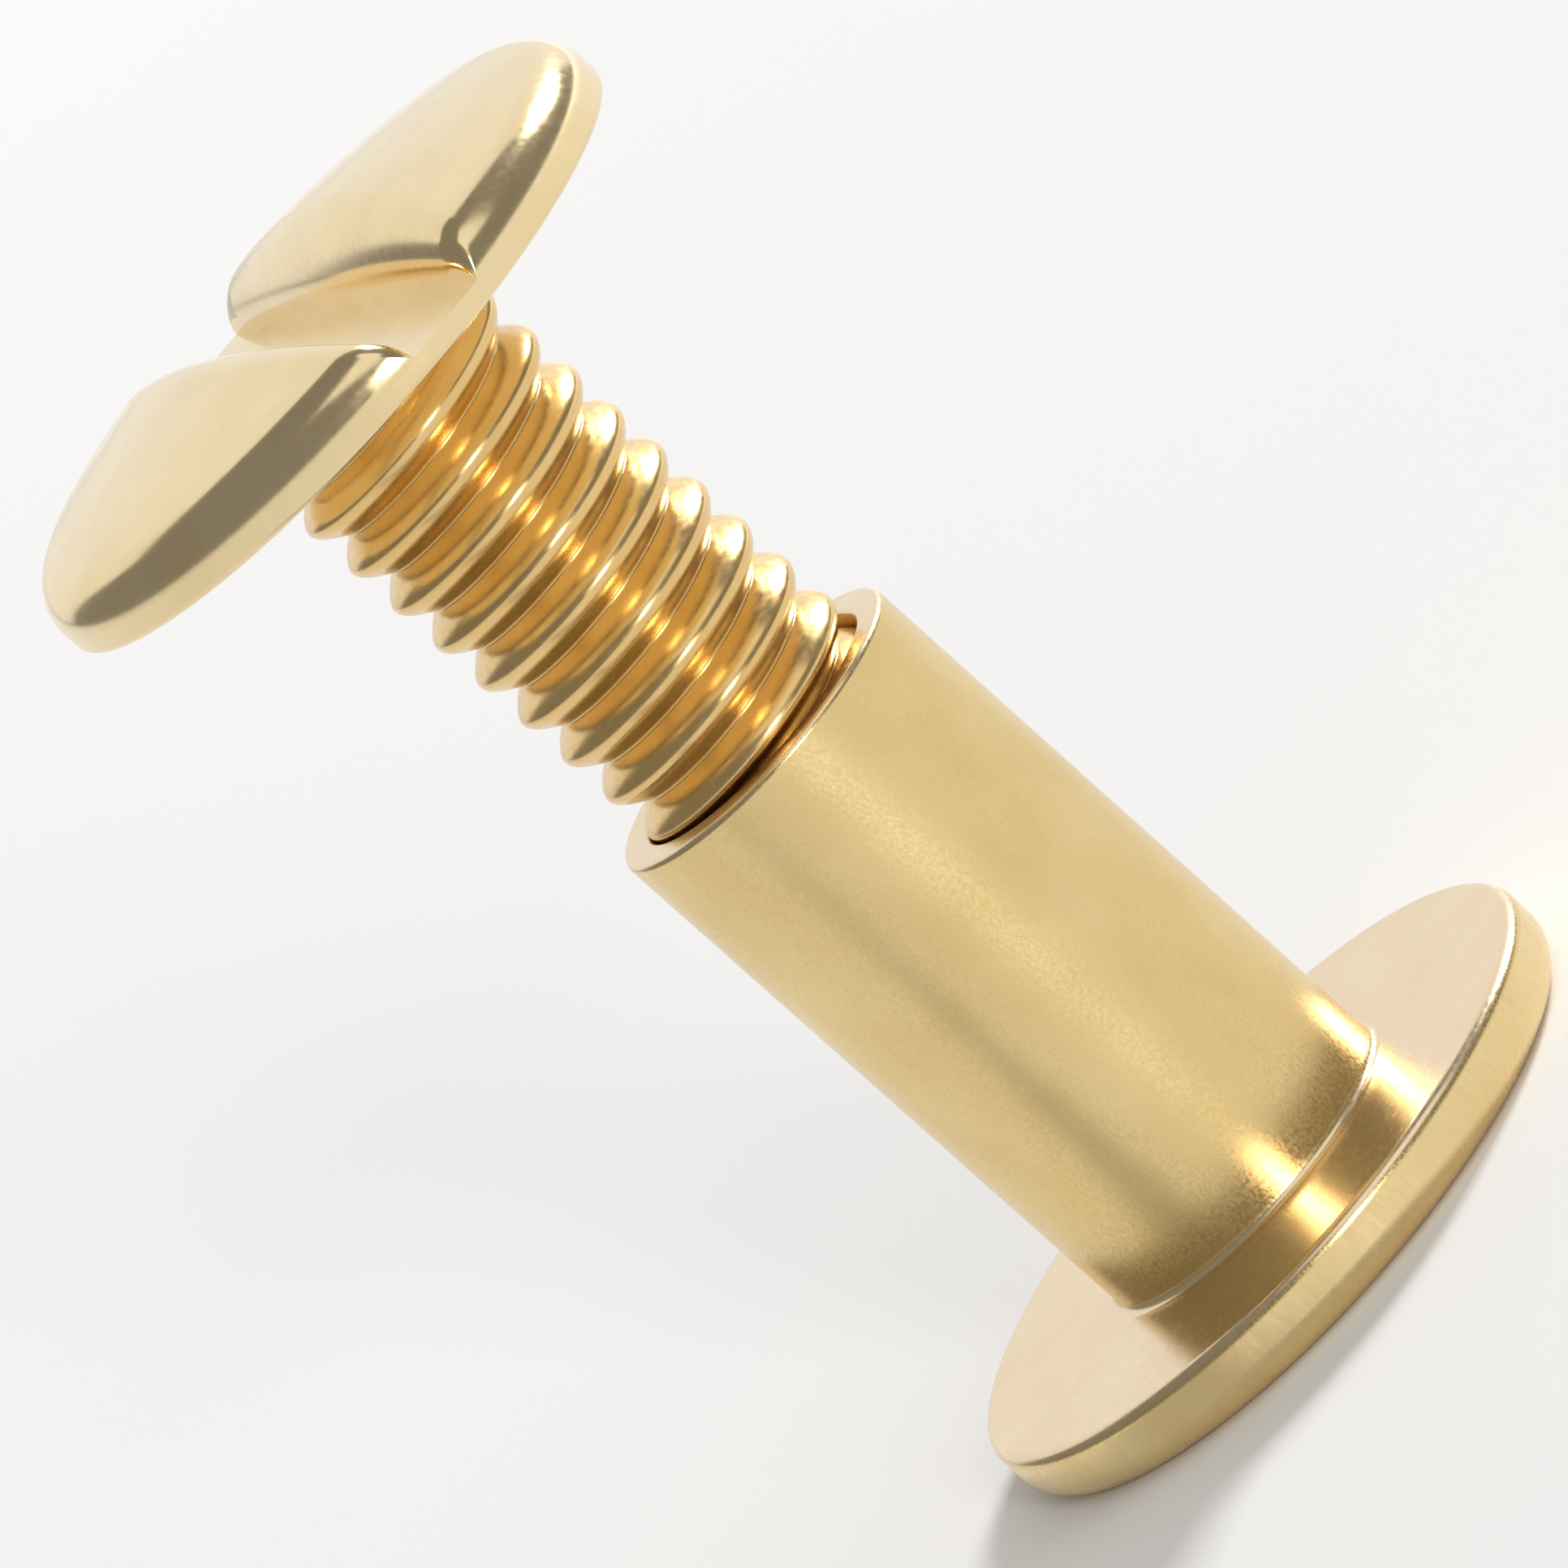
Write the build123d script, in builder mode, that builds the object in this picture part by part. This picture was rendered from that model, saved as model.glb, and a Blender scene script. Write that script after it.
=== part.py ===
from build123d import *

import os
from math import ceil, radians, sin, tan

# Binding barrel screw: a slotted screw turned part way into a barrel that carries a round flange.
# It stands on the flange. +Z runs along the axis, from the flange up to the screw's head, and
# the origin is at the centre of the flange's outer face. Sizes are in millimetres.

# Thread: right-hand, 32 turns to the inch
thread_diameter = 4.0
thread_pitch = 25.4 / 32
flank_angle = 60.0  # between the two sides of a groove, degrees
neck_height = 0.3  # cone between the thread's run-out and the head
tip_cone = 0.35  # height of the cone at the tip

# Barrel and flange
thread_clearance = 0.06  # between the crests and the bore, on the radius
barrel_wall = 0.49
barrel_length = 9.4  # from the flange's inner face to the mouth
bore_floor = 0.6  # from the flange's outer face up to the end of the bore
mouth_break = 0.05
flange_diameter = 10.5
flange_thickness = 1.05
flange_round = 0.5  # rounding of the outer edge
flange_break = 0.05  # broken inner edge
root_flare = 0.14  # where the barrel meets the flange

# Screw head
head_diameter = 10.5
head_height = 1.61  # from the flat underside to the top of the crown
crown_angle = 14.0  # slope of the crown where the shoulder takes over, degrees
head_round = 0.7  # shoulder between the crown and the side
head_break = 0.1  # broken edge of the underside
slot_width = 1.4  # between the walls, at the bottom
slot_floor = 0.32  # from the underside up to the bottom of the slot
slot_lip = 0.9  # rounding of the walls out to the crown
slot_angle = 15.0  # between the slot and the Y axis, degrees

# How far the screw is turned in
turns_engaged = 2.5
tip_clearance = 0.23  # left under the tip when the head is down on the mouth

# Radii and heights that follow
crest_r = thread_diameter / 2
crest_width = thread_pitch / 8
thread_depth = 0.58 * thread_pitch
root_r = crest_r - thread_depth
bore_r = crest_r + thread_clearance
barrel_r = bore_r + barrel_wall
flange_r = flange_diameter / 2
head_r = head_diameter / 2
mouth_z = flange_thickness + barrel_length
shank_length = mouth_z - bore_floor - tip_clearance
tip_z = mouth_z - turns_engaged * thread_pitch
under_z = tip_z + shank_length
top_z = under_z + head_height

# Barrel and flange: one turned piece with a blind bore. The bore is plain, at the size of the
# tapped hole's grooves, so the thread on the screw runs clear of it.
with BuildPart() as barrel_post:
    with BuildSketch(Plane.XZ):
        with BuildLine():
            base = Line((0, 0), (flange_r - flange_round, 0))
            outer_round = JernArc(base @ 1, base % 1, flange_round, 90)
            Polyline(
                outer_round @ 1,
                (flange_r, flange_thickness - flange_break),
                (flange_r - flange_break, flange_thickness),
                (barrel_r + root_flare, flange_thickness),
                (barrel_r, flange_thickness + root_flare),
                (barrel_r, mouth_z - mouth_break),
                (barrel_r - mouth_break, mouth_z),
                (bore_r + mouth_break, mouth_z),
                (bore_r, mouth_z - mouth_break),
                (bore_r, bore_floor),
                (0, bore_floor),
                base @ 0,
            )
        make_face()
    revolve(axis=Axis.Z)
barrel_post.part.label = "barrel_post"

# Screw: the thread is a ridge wound round the core. It starts a turn below the tip and ends past
# the neck, and is then turned down to a cone at the tip and a run-out at the neck. The head
# comes after.
winding_start = tip_z - thread_pitch
turns_per_run = 4  # the path is made of short helices end to end, which mesh more evenly
run_length = turns_per_run * thread_pitch
run_count = ceil((shank_length + 2 * thread_pitch) / run_length)
ridge_sink = 0.05  # how far the ridge's base lies inside the core
ridge_height = thread_depth + ridge_sink
ridge_half = crest_width / 2 + ridge_height * tan(radians(flank_angle / 2))
turned_r = crest_r + thread_clearance
neck_r = (crest_r + bore_r) / 2
crown_sine = sin(radians(crown_angle))
crown_radius = (head_r - head_round) / crown_sine + head_round

with BuildPart() as slotted_screw:
    with BuildSketch(Plane.XY.offset(winding_start)):
        Circle(root_r)
    extrude(amount=run_count * run_length)
    with BuildLine():
        for run in range(run_count):
            Helix(thread_pitch, run_length, root_r, center=(0, 0, winding_start + run * run_length))
    with BuildSketch(Plane.XZ):
        with BuildLine():
            Polyline(
                (root_r - ridge_sink, winding_start - ridge_half),
                (crest_r, winding_start - crest_width / 2),
                (crest_r, winding_start + crest_width / 2),
                (root_r - ridge_sink, winding_start + ridge_half),
                close=True,
            )
        make_face()
    sweep(is_frenet=True)
    with BuildSketch(Plane.XZ):
        with BuildLine():
            Polyline(
                (0, tip_z),
                (root_r, tip_z),
                (turned_r, tip_z + tip_cone),
                (turned_r, under_z - neck_height - thread_depth),
                (root_r, under_z - neck_height),
                (root_r, under_z),
                (0, under_z),
                close=True,
            )
        make_face()
    revolve(axis=Axis.Z, mode=Mode.INTERSECT)
    with BuildSketch(Plane.XZ):
        with BuildLine():
            crown = JernArc((0, top_z), (1, 0), crown_radius, -crown_angle)
            shoulder = JernArc(crown @ 1, crown % 1, head_round, crown_angle - 90)
            Polyline(
                shoulder @ 1,
                (head_r, under_z + head_break),
                (head_r - head_break, under_z),
                (neck_r, under_z),
                (root_r, under_z - neck_height),
                (0, under_z - neck_height),
                crown @ 0,
            )
        make_face()
    revolve(axis=Axis.Z)
    with BuildSketch(Plane.XZ.rotated((0, 0, slot_angle))):
        with BuildLine():
            wall = Line((slot_width / 2, under_z + slot_floor), (slot_width / 2, top_z - slot_lip))
            lip = JernArc(wall @ 1, wall % 1, slot_lip, -90)
            Polyline(lip @ 1, (0, top_z), (0, under_z + slot_floor), wall @ 0)
        make_face()
        mirror(about=Plane.YZ)
    extrude(amount=head_diameter, both=True, mode=Mode.SUBTRACT)
slotted_screw.part.label = "slotted_screw"

os.makedirs("parts", exist_ok=True)
export_step(barrel_post.part, "parts/barrel_post.step")
export_step(slotted_screw.part, "parts/slotted_screw.step")
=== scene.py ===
from math import asin, atan2, ceil, cos, pi, radians, sin, sqrt, tan

import bpy
from mathutils import Matrix, Vector


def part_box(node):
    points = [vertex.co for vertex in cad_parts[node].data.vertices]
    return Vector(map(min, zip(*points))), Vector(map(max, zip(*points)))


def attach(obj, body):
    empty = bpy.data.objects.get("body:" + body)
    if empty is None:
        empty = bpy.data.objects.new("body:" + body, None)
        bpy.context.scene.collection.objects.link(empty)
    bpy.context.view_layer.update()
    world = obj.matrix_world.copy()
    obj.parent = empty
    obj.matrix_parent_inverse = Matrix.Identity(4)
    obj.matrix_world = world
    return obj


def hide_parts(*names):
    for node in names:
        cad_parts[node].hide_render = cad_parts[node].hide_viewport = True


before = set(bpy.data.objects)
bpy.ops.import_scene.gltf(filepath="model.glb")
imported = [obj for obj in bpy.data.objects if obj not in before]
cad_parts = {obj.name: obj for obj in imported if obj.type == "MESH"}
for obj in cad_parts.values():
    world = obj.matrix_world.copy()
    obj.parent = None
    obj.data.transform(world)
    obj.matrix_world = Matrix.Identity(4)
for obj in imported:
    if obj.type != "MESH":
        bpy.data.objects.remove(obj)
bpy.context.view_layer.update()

mm = 0.001

# A binding barrel screw: a slotted brass screw turned part way into a flanged barrel. It stands
# on the flange with its axis along +Z, and the near side faces -Y. Lengths are in metres.

postLow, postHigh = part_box("barrel_post")
screwLow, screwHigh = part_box("slotted_screw")

# Meshes: each face is a list of (point, normal) corners, and corners at one point share a vertex


def meshFrom(name, faces):
    grid = 1e-9
    index = {}
    points = []
    polygons = []
    normals = []
    for face in faces:
        corners = []
        for point, normal in face:
            key = tuple(round(c / grid) for c in point)
            if key not in index:
                index[key] = len(points)
                points.append(point)
            if index[key] not in [c for c, _ in corners]:
                corners.append((index[key], normal))
        if len(corners) > 2:
            polygons.append([c for c, _ in corners])
            normals += [n for _, n in corners]
    mesh = bpy.data.meshes.new(name)
    mesh.from_pydata(points, [], polygons)
    mesh.polygons.foreach_set("use_smooth", [True] * len(polygons))
    mesh.normals_split_custom_set(normals)
    mesh.update()
    return mesh


def roundedProfile(corners, steps=6):
    # corners are (radius, height, rounding), with the outside on the right of the way along them
    rows = []
    for i, (radius, height, rounding) in enumerate(corners):
        here = Vector((radius, height))
        ways = []
        if i:
            ways.append((here - Vector(corners[i - 1][:2])).normalized())
        if i < len(corners) - 1:
            ways.append((Vector(corners[i + 1][:2]) - here).normalized())
        a, b = ways[0], ways[-1]
        normal = Vector((a.y, -a.x))
        if len(ways) == 1:
            rows.append((here, normal))
            continue
        turn = atan2(a.x * b.y - a.y * b.x, a.dot(b))
        side = 1 if turn > 0 else -1
        centre = here - a * rounding * tan(abs(turn) / 2) - normal * rounding * side
        for k in range(steps + 1):
            n = Matrix.Rotation(turn * k / steps, 2) @ normal
            rows.append((centre + n * rounding * side, n))
    return rows


def spun(row, angle):
    (radius, height), (outward, upward) = row
    c, s = cos(angle), sin(angle)
    return (radius * c, radius * s, height), (outward * c, outward * s, upward)


def lathe(rows, angles):
    faces = []
    for low, high in zip(rows, rows[1:]):
        for a, b in zip(angles, angles[1:]):
            faces.append([spun(low, a), spun(low, b), spun(high, b), spun(high, a)])
    return faces


def between(first, last, steps):
    return [first + (last - first) * k / steps for k in range(steps + 1)]


def addObject(name, data):
    made = bpy.data.objects.new(name, data)
    bpy.context.collection.objects.link(made)
    return made


# Barrel with its flange and blind bore

barrel = dict(
    flangeRadius=(postHigh[0] - postLow[0]) / 2,
    flangeThickness=1.05 * mm,
    flangeRound=0.5 * mm,
    flangeBreak=0.18 * mm,
    outerRadius=2.55 * mm,
    rootFlare=0.14 * mm,
    mouthHeight=postHigh[2],
    mouthBreak=0.1 * mm,
    boreRadius=2.06 * mm,
    boreFloor=0.6 * mm,
    segments=192,
)

postRows = roundedProfile([
    (0, 0, 0),
    (barrel["flangeRadius"], 0, barrel["flangeRound"]),
    (barrel["flangeRadius"], barrel["flangeThickness"], barrel["flangeBreak"]),
    (barrel["outerRadius"], barrel["flangeThickness"], barrel["rootFlare"]),
    (barrel["outerRadius"], barrel["mouthHeight"], barrel["mouthBreak"]),
    (barrel["boreRadius"], barrel["mouthHeight"], barrel["mouthBreak"]),
    (barrel["boreRadius"], barrel["boreFloor"], barrel["mouthBreak"]),
    (0, barrel["boreFloor"], 0),
])
postFaces = lathe(postRows, between(0, 2 * pi, barrel["segments"]))
barrelPost = addObject("barrelPost", meshFrom("barrelPost", postFaces))
print("barrel", len(barrelPost.data.polygons))


# Screw head: a cap on each side of the slot, the slot's broken edges, walls and floor, and the
# rim below the slot. Slot coordinates are (across, along, height), and along points away.

head = dict(
    radius=(screwHigh[0] - screwLow[0]) / 2,
    underside=18.086 * mm,
    height=1.61 * mm,
    crownAngle=14,
    shoulderRound=0.7 * mm,
    undersideBreak=0.1 * mm,
    slotWidth=1.4 * mm,
    slotFloor=0.32 * mm,
    slotAngle=15,
    slotLip=0.8,  # rounding of the slot's lips, as a share of their height over its floor
    settlingRounds=20,
    arcSteps=128,
    exitSteps=8,
    crownSteps=24,
    shoulderSteps=14,
    sideSteps=3,
    lipSteps=10,
)
undersideHeight = head["underside"]
crownHeight = undersideHeight + head["height"]
slotFloorHeight = undersideHeight + head["slotFloor"]
slotHalf = head["slotWidth"] / 2
lastCrown = radians(head["crownAngle"])
crownRadius = (head["radius"] - head["shoulderRound"]) / sin(lastCrown) + head["shoulderRound"]
shoulderIn = head["radius"] - head["shoulderRound"]
shoulderUp = crownHeight - crownRadius + (crownRadius - head["shoulderRound"]) * cos(lastCrown)


def lipAt(height):
    return head["slotLip"] * (height - slotFloorHeight)


def capRows():
    rows = []
    # the crown starts where the slot's lip ends, and the lip grows with the height there
    firstCrown = 0
    for _ in range(head["settlingRounds"]):
        firstRise = crownHeight - crownRadius * (1 - cos(firstCrown))
        firstCrown = asin((slotHalf + lipAt(firstRise)) / crownRadius)
    for a in between(firstCrown, lastCrown, head["crownSteps"]):
        rise = crownHeight - crownRadius * (1 - cos(a))
        rows.append(((crownRadius * sin(a), rise), (sin(a), cos(a))))
    for a in between(lastCrown, pi / 2, head["shoulderSteps"])[1:]:
        n = Vector((sin(a), cos(a)))
        rows.append((Vector((shoulderIn, shoulderUp)) + n * head["shoulderRound"], n))
    for h in between(shoulderUp, slotFloorHeight, head["sideSteps"])[1:]:
        rows.append(((head["radius"], h), (1, 0)))
    return rows


def fromSlot(point, half):
    turned = Matrix.Rotation(radians(head["slotAngle"]) + pi * half, 3, "Z")
    return turned @ Vector(point)


def lipEnd(radius, height):
    across = slotHalf + lipAt(height)
    return across, sqrt(max(radius**2 - across**2, 0))


def capFaces(rows, half):
    grid = []
    for row in rows:
        across, along = lipEnd(*row[0])
        reach = atan2(along, across)
        line = [spun(row, a) for a in between(-reach, reach, head["arcSteps"])]
        grid.append([(fromSlot(p, half), fromSlot(n, half)) for p, n in line])
    faces = []
    for low, high in zip(grid, grid[1:]):
        for j in range(head["arcSteps"]):
            faces.append([low[j], high[j], high[j + 1], low[j + 1]])
    return faces


def brokenEdge(rows):
    # strips of (point, normal) from the cap over to the slot's wall, from the near end to the far
    strips = []
    for (radius, height), (outward, upward) in rows:
        across, along = lipEnd(radius, height)
        facing = Vector((0, outward * along / radius, upward)).normalized()
        lip = lipAt(height)
        centre = Vector((across, along, height)) - facing * lip
        strip = []
        for a in between(0, pi / 2, head["lipSteps"]):
            n = facing * cos(a) + Vector((-sin(a), 0, 0))
            strip.append((centre + n * lip, n))
        strips.append(strip)
    flip = Matrix.Diagonal((1, -1, 1))
    near = [[(flip @ p, flip @ n) for p, n in strip] for strip in reversed(strips)]
    return near + strips


def headFaces():
    rows = capRows()
    strips = brokenEdge(rows)
    wallTop = [strip[-1][0] for strip in strips]
    across, along = lipEnd(head["radius"], slotFloorHeight)
    farReach = atan2(along, across)
    exitArc = between(farReach, pi - farReach, head["exitSteps"])[1:-1]
    faces = []
    floorLine = []
    for half in (0, 1):
        faces += capFaces(rows, half)
        for left, right in zip(strips, strips[1:]):
            for k in range(len(left) - 1):
                corners = [left[k], right[k], right[k + 1], left[k + 1]]
                faces.append([(fromSlot(p, half), fromSlot(n, half)) for p, n in corners])
        faces.append([(fromSlot(p, half), fromSlot((-1, 0, 0), half)) for p in wallTop])
        floorLine += [fromSlot(strips[0][-1][0], half)]
        floorLine += [fromSlot(p, half) for p, _ in reversed(strips[-1])]
        for a in exitArc:
            x, y = head["radius"] * cos(a), head["radius"] * sin(a)
            floorLine.append(fromSlot((x, y, slotFloorHeight), half))
        floorLine += [fromSlot(p, 1 - half) for p, _ in strips[0]][:-1]
    faces.append([(p, (0, 0, 1)) for p in floorLine])
    spin = radians(head["slotAngle"])
    angles = [spin + a for a in between(-farReach, farReach, head["arcSteps"])]
    angles += [spin + a for a in exitArc]
    angles += [a + pi for a in angles]
    angles.append(angles[0] + 2 * pi)
    rim = roundedProfile([
        (0, undersideHeight, 0),
        (head["radius"], undersideHeight, head["undersideBreak"]),
        (head["radius"], slotFloorHeight, 0),
    ])
    return faces + lathe(rim, angles)


# Threaded shank: one strip a pitch wide is wound from below the tip to inside the head

thread = dict(
    pitch=25.4 / 32 * mm,
    crestRadius=2.045 * mm,
    rootRadius=1.54 * mm,
    flankAngle=60,
    crestSoftness=0.24 * mm,
    rootSoftness=0.16 * mm,
    tipCone=0.35 * mm,
    neckHeight=0.3 * mm,
    neckRadius=2.05 * mm,
    runOutSlope=1.1,  # how fast the thread runs out into the neck
    sinkInHead=0.1 * mm,
    spareTurns=2,  # wound beyond each end and then run in to the axis
    stepsPerTurn=96,
    stepsPerPitch=32,
    mergeDistance=0.001 * mm,
)


def calculator(tree):
    def calc(operation, *values):
        node = tree.nodes.new("ShaderNodeMath")
        node.operation = operation
        for socket, value in zip(node.inputs, values):
            if isinstance(value, (int, float)):
                socket.default_value = value
            else:
                tree.links.new(value, socket)
        return node.outputs[0]

    return calc


def woundThreadGroup():
    tree = bpy.data.node_groups.new("woundThread", "GeometryNodeTree")
    interface = tree.interface
    interface.new_socket("Geometry", in_out="INPUT", socket_type="NodeSocketGeometry")
    for name in (
        "Pitch", "Crest Radius", "Root Radius", "Flank Slope", "Crest Softness", "Root Softness",
        "Tip Height", "Tip Cone", "Neck Start", "Neck Radius", "Run-Out Slope",
        "Underside Height", "End Height", "Turns", "Spare Turns", "Merge Distance",
    ):
        interface.new_socket(name, in_out="INPUT", socket_type="NodeSocketFloat")
    for name in ("Steps Per Turn", "Steps Per Pitch"):
        interface.new_socket(name, in_out="INPUT", socket_type="NodeSocketInt")
    interface.new_socket("Material", in_out="INPUT", socket_type="NodeSocketMaterial")
    interface.new_socket("Geometry", in_out="OUTPUT", socket_type="NodeSocketGeometry")
    add, link = tree.nodes.new, tree.links.new
    given = add("NodeGroupInput").outputs
    calc = calculator(tree)

    grid = add("GeometryNodeMeshGrid")
    along = calc("ADD", calc("MULTIPLY", given["Turns"], given["Steps Per Turn"]), 1)
    link(along, grid.inputs["Vertices X"])
    link(calc("ADD", given["Steps Per Pitch"], 1), grid.inputs["Vertices Y"])
    place = add("ShaderNodeSeparateXYZ")
    link(add("GeometryNodeInputPosition").outputs[0], place.inputs[0])
    turn = calc("MULTIPLY", calc("ADD", place.outputs[0], 0.5), given["Turns"])
    across = place.outputs[1]
    below = calc("MULTIPLY", given["Spare Turns"], -1)
    start = calc("MULTIPLY_ADD", given["Pitch"], below, given["Tip Height"])
    rise = calc("MULTIPLY_ADD", calc("ADD", turn, across), given["Pitch"], start)

    # from the crest down to the root
    fromCrest = calc("MULTIPLY", across, given["Pitch"])
    soft = given["Crest Softness"]
    bent = calc("SQRT", calc("MULTIPLY_ADD", fromCrest, fromCrest, calc("MULTIPLY", soft, soft)))
    drop = calc("MULTIPLY", calc("SUBTRACT", soft, bent), given["Flank Slope"])
    ridge = calc("ADD", given["Crest Radius"], drop)
    ridge = calc("SMOOTH_MAX", ridge, given["Root Radius"], given["Root Softness"])

    # turned down to a cone at the tip, and to a run-out and a cone at the neck
    depth = calc("SUBTRACT", given["Crest Radius"], given["Root Radius"])
    overTip = calc("SUBTRACT", rise, given["Tip Height"])
    tipSlope = calc("DIVIDE", depth, given["Tip Cone"])
    tipCone = calc("MULTIPLY_ADD", overTip, tipSlope, given["Root Radius"])
    ridge = calc("MINIMUM", ridge, tipCone)
    toNeck = calc("SUBTRACT", given["Neck Start"], rise)
    beforeNeck = calc("MAXIMUM", toNeck, 0)
    runOut = calc("MULTIPLY_ADD", beforeNeck, given["Run-Out Slope"], given["Root Radius"])
    ridge = calc("MINIMUM", ridge, runOut)
    neckTall = calc("SUBTRACT", given["Underside Height"], given["Neck Start"])
    neckGrow = calc("SUBTRACT", given["Neck Radius"], given["Root Radius"])
    neckShare = calc("DIVIDE", calc("MULTIPLY", toNeck, -1), neckTall)
    neckCone = calc("MULTIPLY_ADD", calc("MINIMUM", neckShare, 1), neckGrow, given["Root Radius"])
    ridge = calc("MAXIMUM", ridge, neckCone)

    # both ends run in to the axis
    tipLeft = calc("ADD", calc("DIVIDE", overTip, given["Pitch"]), 1)
    tipLeft = calc("MINIMUM", calc("MAXIMUM", tipLeft, 0), 1)
    tipDisc = calc("MULTIPLY", tipLeft, given["Root Radius"])
    overEnd = calc("DIVIDE", calc("SUBTRACT", rise, given["End Height"]), given["Pitch"])
    endLeft = calc("MINIMUM", calc("MAXIMUM", calc("SUBTRACT", 1, overEnd), 0), 1)
    belowTip = calc("LESS_THAN", overTip, 0)
    radius = add("GeometryNodeSwitch")
    radius.input_type = "FLOAT"
    link(belowTip, radius.inputs[0])
    link(ridge, radius.inputs[1])
    link(tipDisc, radius.inputs[2])
    radius = calc("MULTIPLY", radius.outputs[0], endLeft)
    height = calc("MINIMUM", calc("MAXIMUM", rise, given["Tip Height"]), given["End Height"])

    angle = calc("MULTIPLY", turn, 2 * pi)
    target = add("ShaderNodeCombineXYZ")
    link(calc("MULTIPLY", radius, calc("COSINE", angle)), target.inputs[0])
    link(calc("MULTIPLY", radius, calc("SINE", angle)), target.inputs[1])
    link(height, target.inputs[2])
    wound = add("GeometryNodeSetPosition")
    link(grid.outputs["Mesh"], wound.inputs["Geometry"])
    link(target.outputs[0], wound.inputs["Position"])
    merged = add("GeometryNodeMergeByDistance")
    link(given["Merge Distance"], merged.inputs["Distance"])
    link(wound.outputs[0], merged.inputs["Geometry"])
    smooth = add("GeometryNodeSetShadeSmooth")
    link(merged.outputs[0], smooth.inputs["Geometry"])
    painted = add("GeometryNodeSetMaterial")
    link(smooth.outputs[0], painted.inputs["Geometry"])
    link(given["Material"], painted.inputs["Material"])
    joined = add("GeometryNodeJoinGeometry")
    link(painted.outputs[0], joined.inputs[0])
    link(given["Geometry"], joined.inputs[0])
    link(joined.outputs[0], add("NodeGroupOutput").inputs[0])
    return tree


def applied(obj, tree, values):
    modifier = obj.modifiers.new("applied", "NODES")
    modifier.node_group = tree
    for item in tree.interface.items_tree:
        if item.in_out == "INPUT" and item.name in values:
            modifier[item.identifier] = values[item.name]
    graph = bpy.context.evaluated_depsgraph_get()
    made = bpy.data.meshes.new_from_object(obj.evaluated_get(graph))
    obj.modifiers.remove(modifier)
    made.name = obj.name
    obj.data = made


# Shader groups and materials

# Each surface of the brass: how much its roughness varies, the marks in it per mm across and along
# the axis and how deep they are in mm, and how far its tone drifts where it has dulled
brass = dict(
    head=dict(
        colour=(0.90, 0.73, 0.43), roughness=0.18, spread=0.03,
        across=7, along=7, relief=0.0002, dulled=0.10,
    ),
    # the thread's brass is darker than the head's: painted shade for the roots between its turns
    thread=dict(
        colour=(0.86, 0.61, 0.27), roughness=0.24, spread=0.05,
        across=5, along=14, relief=0.0005, dulled=0.16,
    ),
    flange=dict(
        colour=(0.89, 0.71, 0.47), roughness=0.24, spread=0.05,
        across=9, along=9, relief=0.0004, dulled=0.10,
    ),
    bore=dict(
        colour=(0.86, 0.62, 0.28), roughness=0.45, spread=0.06,
        across=8, along=3, relief=0.001, dulled=0.16,
    ),
    # the barrel's brass is more saturated than the flange's, and darker as painted shade that
    # deepens the dark band down its side
    barrel=dict(
        colour=(0.83, 0.64, 0.31), roughness=0.27, spread=0.08,
        across=24, along=14, relief=0.0014, dulled=0.14,
    ),
    rim=dict(
        colour=(0.87, 0.69, 0.37), roughness=0.27, spread=0.09,
        across=10, along=2, relief=0.003, dulled=0.14,
    ),
)

# The marks' own detail, the part of the noise's range that is used, and the dull patches: how many
# there are per mm, and how much of the dulling each of red, green and blue takes
markDetail = 2
noiseRange = (0.3, 0.7)
dullPatches = dict(across=0.9, along=0.6, detail=5, shares=(0.5, 0.75, 1.25))


def marksGroup():
    # fine marks in the metal: short streaks when Along is small, specks when it nears Across
    tree = bpy.data.node_groups.new("fineMarks", "ShaderNodeTree")
    interface = tree.interface
    for name in ("Across", "Along", "Detail"):
        interface.new_socket(name, in_out="INPUT", socket_type="NodeSocketFloat")
    interface.new_socket("Value", in_out="OUTPUT", socket_type="NodeSocketFloat")
    given = tree.nodes.new("NodeGroupInput").outputs
    add, link = tree.nodes.new, tree.links.new
    scale = add("ShaderNodeCombineXYZ")
    for k, name in enumerate(("Across", "Across", "Along")):
        link(given[name], scale.inputs[k])
    place = add("ShaderNodeVectorMath")
    place.operation = "MULTIPLY"
    link(add("ShaderNodeTexCoord").outputs["Object"], place.inputs[0])
    link(scale.outputs[0], place.inputs[1])
    noise = add("ShaderNodeTexNoise")
    noise.inputs["Scale"].default_value = 1
    link(place.outputs[0], noise.inputs["Vector"])
    link(given["Detail"], noise.inputs["Detail"])
    link(noise.outputs[0], add("NodeGroupOutput").inputs[0])
    return tree


fineMarks = marksGroup()


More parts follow.
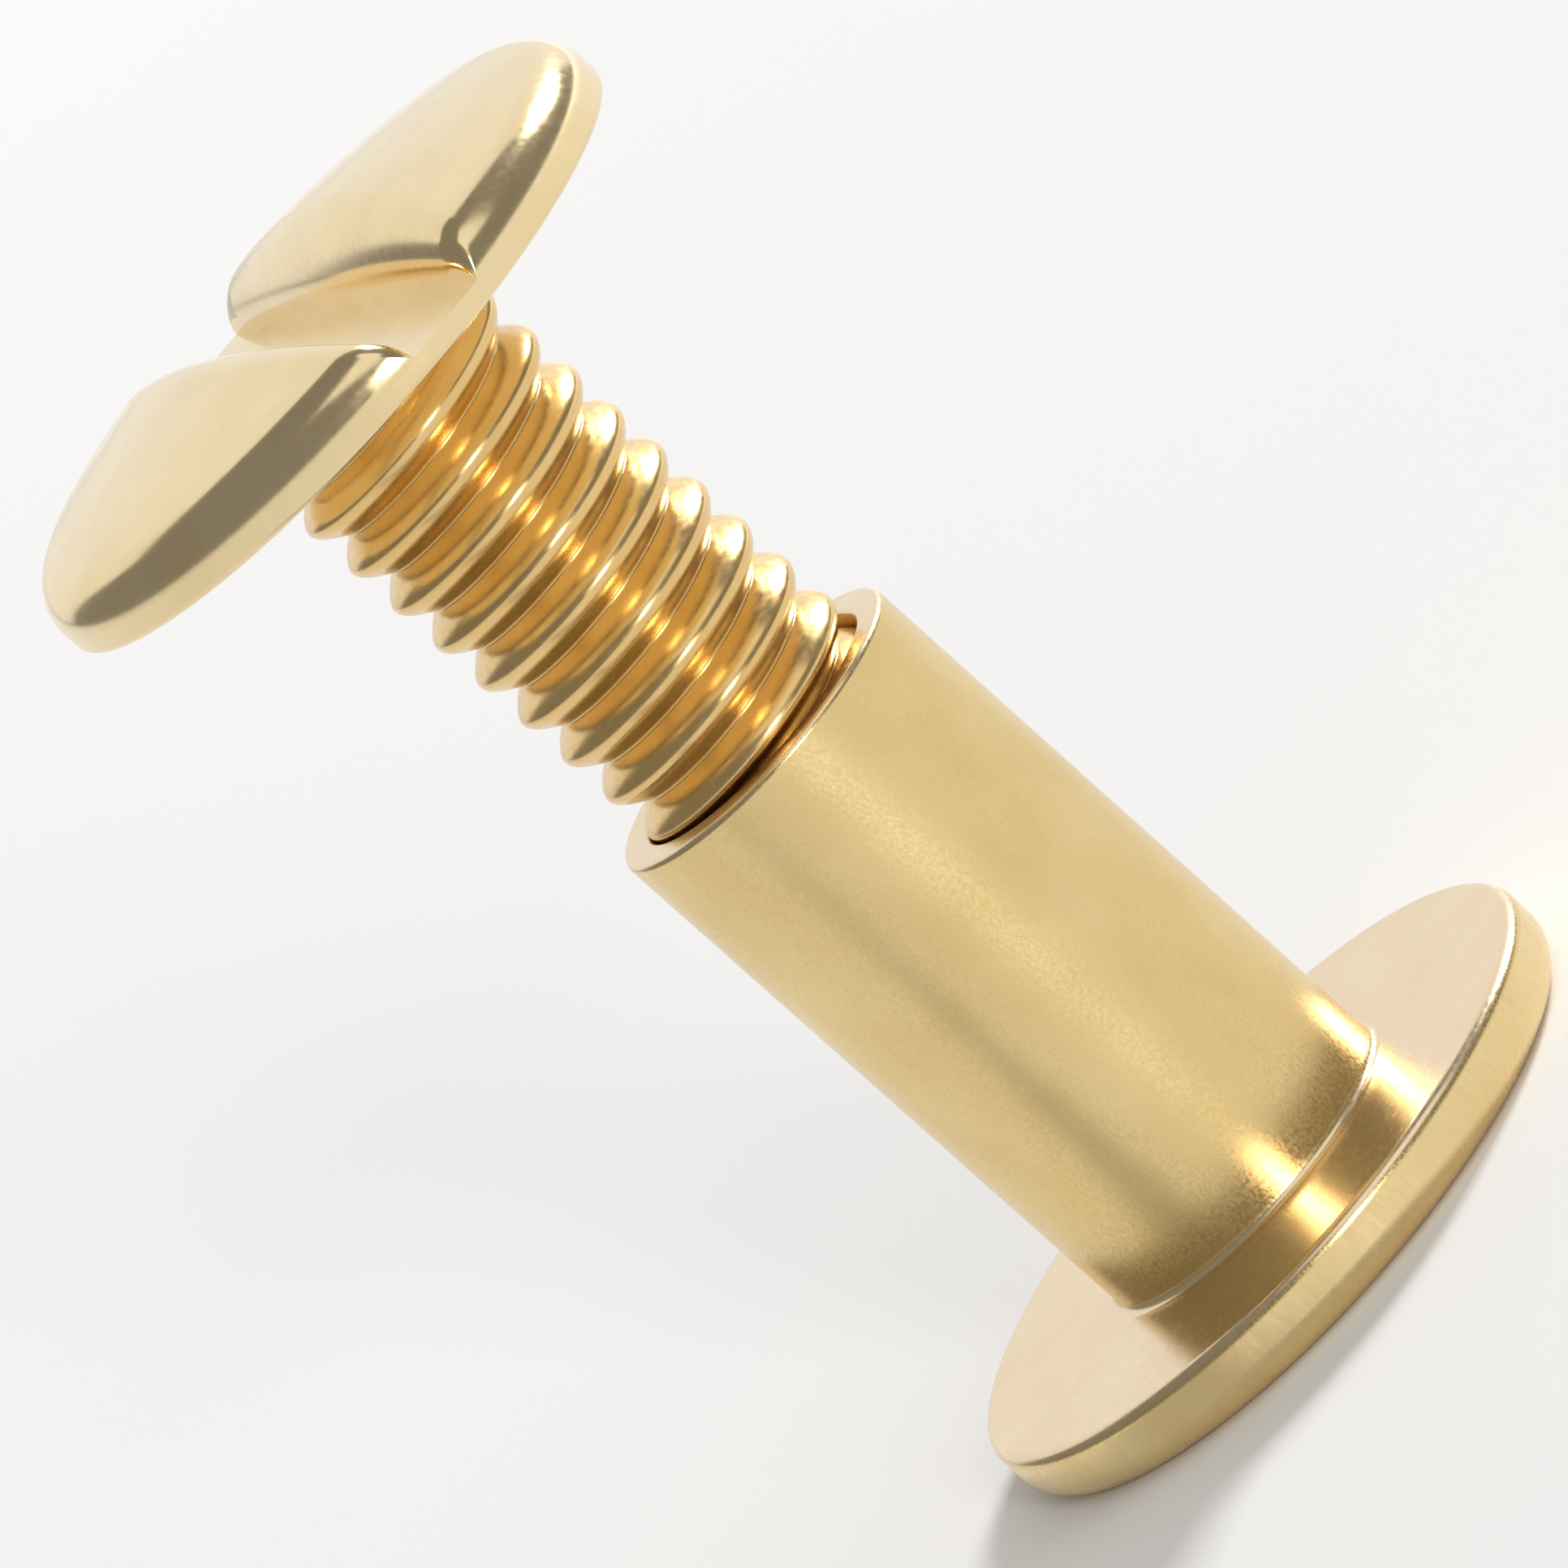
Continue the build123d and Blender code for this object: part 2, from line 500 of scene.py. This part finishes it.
def brassMaterial(name, colour, roughness, spread, across, along, relief, dulled):
    made = bpy.data.materials.new(name)
    made.use_nodes = True
    nodes, link = made.node_tree.nodes, made.node_tree.links.new
    shader = nodes["Principled BSDF"]
    shader.inputs["Metallic"].default_value = 1

    def marks(scaleAcross, scaleAlong, detail):
        group = nodes.new("ShaderNodeGroup")
        group.node_tree = fineMarks
        group.inputs["Across"].default_value = scaleAcross / mm
        group.inputs["Along"].default_value = scaleAlong / mm
        group.inputs["Detail"].default_value = detail
        return group.outputs[0]

    def spreadOut(value, low, high):
        ramp = nodes.new("ShaderNodeMapRange")
        ramp.inputs["From Min"].default_value = noiseRange[0]
        ramp.inputs["From Max"].default_value = noiseRange[1]
        ramp.inputs["To Min"].default_value = low
        ramp.inputs["To Max"].default_value = high
        link(value, ramp.inputs[0])
        return ramp.outputs[0]

    fine = marks(across, along, markDetail)
    link(spreadOut(fine, roughness - spread, roughness + spread), shader.inputs["Roughness"])
    bump = nodes.new("ShaderNodeBump")
    bump.inputs["Strength"].default_value = 1
    bump.inputs["Distance"].default_value = relief * mm
    link(fine, bump.inputs["Height"])
    link(bump.outputs[0], shader.inputs["Normal"])

    dullColour = [c * (1 - dulled * k) for c, k in zip(colour, dullPatches["shares"])]
    patches = marks(dullPatches["across"], dullPatches["along"], dullPatches["detail"])
    tone = nodes.new("ShaderNodeMix")
    tone.data_type = "RGBA"
    tone.inputs[6].default_value = (*colour, 1)
    tone.inputs[7].default_value = (*dullColour, 1)
    link(spreadOut(patches, 0, 1), tone.inputs[0])
    link(tone.outputs[2], shader.inputs["Base Color"])
    return made


paints = {name: brassMaterial(name + "Brass", **values) for name, values in brass.items()}
print("materials", list(paints))

postSurfaces = ("flange", "barrel", "rim", "bore")
for name in postSurfaces:
    barrelPost.data.materials.append(paints[name])
rimFrom = barrel["flangeRadius"] - barrel["flangeRound"] / 2
rimTop = barrel["flangeThickness"] - barrel["flangeBreak"]
boreReach = barrel["boreRadius"] * 1.01  # just past the bore's wall
for face in barrelPost.data.polygons:
    away = face.center.xy.length
    upright = abs(face.normal.z) < 0.5
    if away > rimFrom and face.center.z < rimTop:
        face.material_index = postSurfaces.index("rim")
    elif away < boreReach and face.center.z > barrel["boreFloor"] / 2:
        face.material_index = postSurfaces.index("bore")
    elif upright:
        face.material_index = postSurfaces.index("barrel")

slottedScrew = addObject("slottedScrew", meshFrom("slottedScrew", headFaces()))
slottedScrew.data.materials.append(paints["head"])
tipHeight = screwLow[2]
neckStart = undersideHeight - thread["neckHeight"]
endHeight = undersideHeight + thread["sinkInHead"]
turns = ceil((endHeight - tipHeight) / thread["pitch"] + 2 * thread["spareTurns"])
applied(slottedScrew, woundThreadGroup(), {
    "Pitch": thread["pitch"],
    "Crest Radius": thread["crestRadius"],
    "Root Radius": thread["rootRadius"],
    "Flank Slope": 1 / tan(radians(thread["flankAngle"] / 2)),
    "Crest Softness": thread["crestSoftness"],
    "Root Softness": thread["rootSoftness"],
    "Tip Height": tipHeight,
    "Tip Cone": thread["tipCone"],
    "Neck Start": neckStart,
    "Neck Radius": thread["neckRadius"],
    "Run-Out Slope": thread["runOutSlope"],
    "Underside Height": undersideHeight,
    "End Height": endHeight,
    "Turns": float(turns),
    "Spare Turns": float(thread["spareTurns"]),
    "Merge Distance": thread["mergeDistance"],
    "Steps Per Turn": thread["stepsPerTurn"],
    "Steps Per Pitch": thread["stepsPerPitch"],
    "Material": paints["thread"],
})
print("screw", len(slottedScrew.data.polygons))


# Floor, light and camera

studio = dict(
    floorReach=4,  # from the middle to each edge, in metres
    floorColour=0.98,
    world=(0.25, 0.245, 0.235),
)

# Azimuth is 0 towards the camera and 90 towards +X, power is in watts, and each box faces its aim
softboxes = dict(
    key=dict(
        azimuth=131, elevation=25, distance=1200 * mm,
        width=264 * mm, height=300 * mm, power=13.0, aim=(0, 0, 6 * mm),
    ),
    back=dict(
        azimuth=180, elevation=26, distance=720 * mm,
        width=1020 * mm, height=675 * mm, power=1.485, aim=(0, 0, 8 * mm),
    ),
    front=dict(
        azimuth=11, elevation=13, distance=750 * mm,
        width=90 * mm, height=312 * mm, power=1.8, aim=(0, 0, 10 * mm),
    ),
    top=dict(
        azimuth=40, elevation=58, distance=700 * mm,
        width=700 * mm, height=500 * mm, power=0.825, aim=(0, 0, 10 * mm),
    ),
)

# The camera looks at the barrel's mouth, off it by the two aims. Tilt leans the part in the
# picture, turn is the roll that lays it across, and the lens and the sensor are in mm.
cameraFit = dict(
    elevation=13.4,
    distance=216.2 * mm,
    aimAcross=-0.287 * mm,
    aimAlong=-0.865 * mm,
    tilt=-0.7,
    turn=(-0.75471, 0.65606),
    lens=363.4,
    sensor=36,
    nearest=0.005,
    farthest=20,
)


def addFloor():
    reach = studio["floorReach"]
    corners = [(-reach, -reach, 0), (reach, -reach, 0), (reach, reach, 0), (-reach, reach, 0)]
    mesh = bpy.data.meshes.new("floor")
    mesh.from_pydata(corners, [], [(0, 1, 2, 3)])
    made = addObject("floor", mesh)
    paint = bpy.data.materials.new("paleFloor")
    paint.use_nodes = True
    shader = paint.node_tree.nodes["Principled BSDF"]
    shader.inputs["Base Color"].default_value = (studio["floorColour"],) * 3 + (1,)
    shader.inputs["Roughness"].default_value = 1
    shader.inputs["Specular IOR Level"].default_value = 0
    made.data.materials.append(paint)
    return made


floor = addFloor()


def addWorld():
    world = bpy.data.worlds.new("studio")
    bpy.context.scene.world = world
    world.use_nodes = True
    world.node_tree.nodes["Background"].inputs["Color"].default_value = (*studio["world"], 1)


addWorld()


def addSoftbox(name, box):
    turn, rise = radians(box["azimuth"]), radians(box["elevation"])
    away = Vector((sin(turn) * cos(rise), -cos(turn) * cos(rise), sin(rise)))
    data = bpy.data.lights.new(name, "AREA")
    data.shape = "RECTANGLE"
    data.size, data.size_y = box["width"], box["height"]
    data.energy = box["power"]
    place = away.to_track_quat("Z", "Y").to_matrix().to_4x4()
    place.translation = Vector(box["aim"]) + away * box["distance"]
    addObject(name, data).matrix_world = place


for name, box in softboxes.items():
    addSoftbox(name, box)
print("studio", list(softboxes))


def addCamera():
    rise = radians(cameraFit["elevation"])
    tilt = radians(cameraFit["tilt"])
    upright = Vector((0, sin(rise), cos(rise)))
    toCamera = Vector((0, -cos(rise), sin(rise)))
    across = cos(tilt) * Vector((1, 0, 0)) - sin(tilt) * upright
    along = sin(tilt) * Vector((1, 0, 0)) + cos(tilt) * upright
    mouth = Vector((0, 0, barrel["mouthHeight"]))
    aim = mouth + cameraFit["aimAcross"] * across + cameraFit["aimAlong"] * along
    turnAlong, turnAcross = cameraFit["turn"]
    right = turnAlong * along + turnAcross * across
    up = turnAcross * along - turnAlong * across
    data = bpy.data.cameras.new("camera")
    data.lens = cameraFit["lens"]
    data.sensor_width = cameraFit["sensor"]
    data.clip_start = cameraFit["nearest"]
    data.clip_end = cameraFit["farthest"]
    made = addObject("camera", data)
    place = Matrix((right, up, toCamera)).transposed().to_4x4()
    place.translation = aim + cameraFit["distance"] * toCamera
    made.matrix_world = place
    bpy.context.scene.camera = made


addCamera()
bpy.context.scene.view_settings.view_transform = "Standard"
print("camera", cameraFit["lens"], "mm lens")

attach(barrelPost, "barrel")
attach(slottedScrew, "screw")
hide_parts("barrel_post")
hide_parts("slotted_screw")
